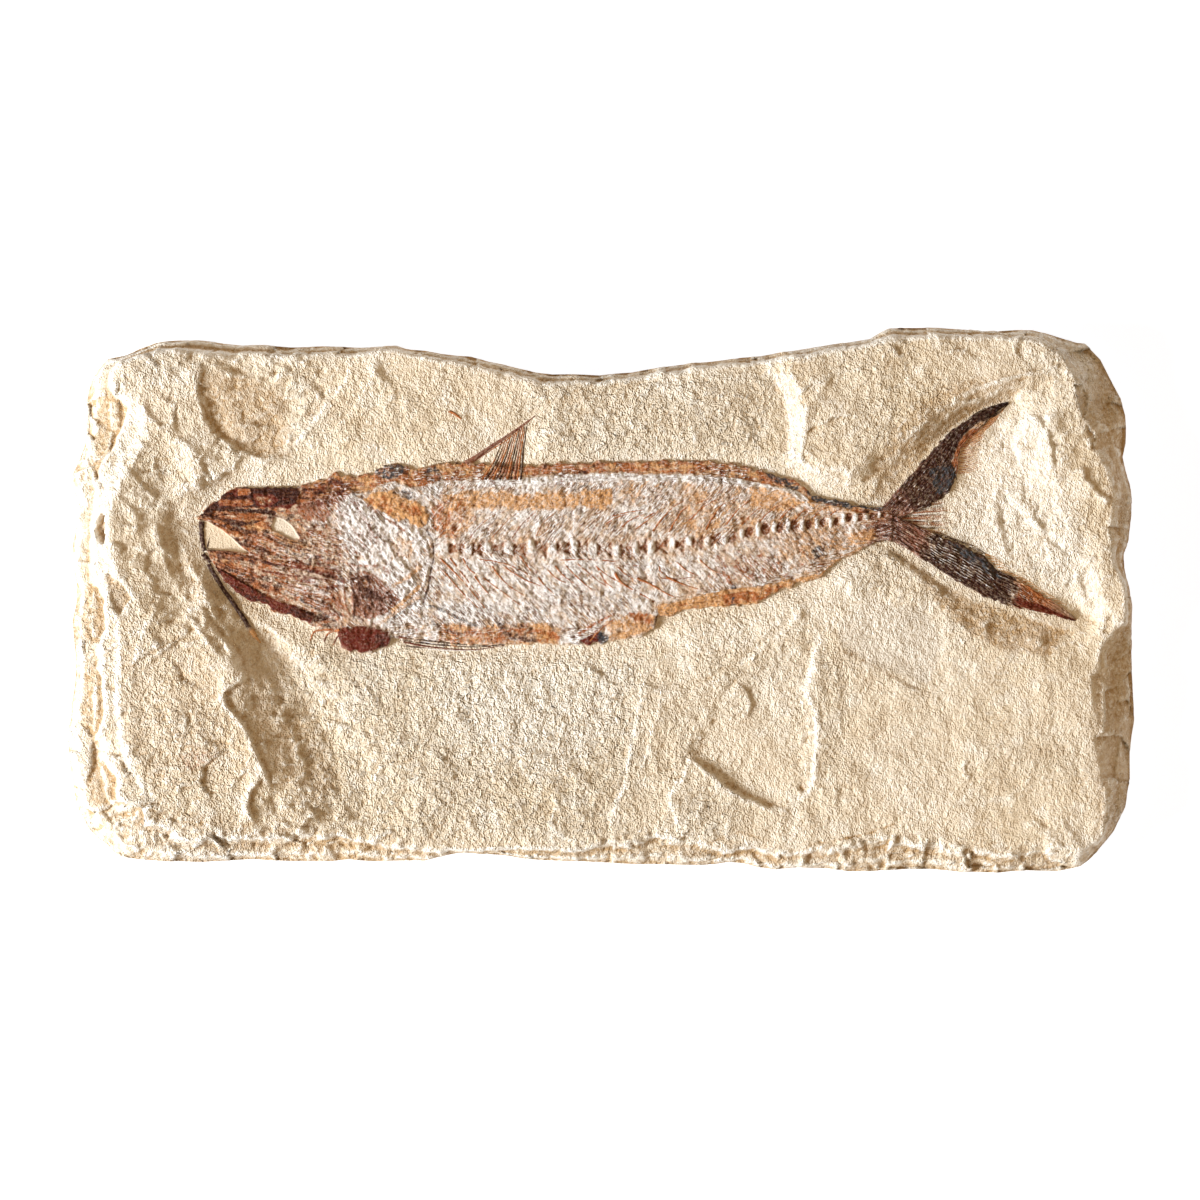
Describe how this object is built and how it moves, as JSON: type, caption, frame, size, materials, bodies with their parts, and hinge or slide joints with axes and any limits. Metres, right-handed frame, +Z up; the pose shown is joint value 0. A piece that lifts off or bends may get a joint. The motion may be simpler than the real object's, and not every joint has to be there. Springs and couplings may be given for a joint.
{
  "type": "fossil fish slab",
  "caption": "Flattened fossil fish with dark bones and a forked tail, lying in a chipped cream limestone slab with raised stone left at one end.",
  "frame": {"origin": "centre of the footprint, on the flat back that the slab lies on", "axes": "+X along the slab from the fish's head to its tail, +Y towards the fish's back, +Z up out of the fossil face"},
  "size_m": [0.3328, 0.1696, 0.0262],
  "materials": {
    "limestone": "matte",
    "fossil bone": "satin",
    "dark bone": "satin"
  },
  "bodies": {
    "root": {"slab": "limestone", "fish": "fossil bone", "snout_bone": "dark bone", "needle_bone": "dark bone", "stray_bone": "fossil bone"}
  },
  "joints": []
}
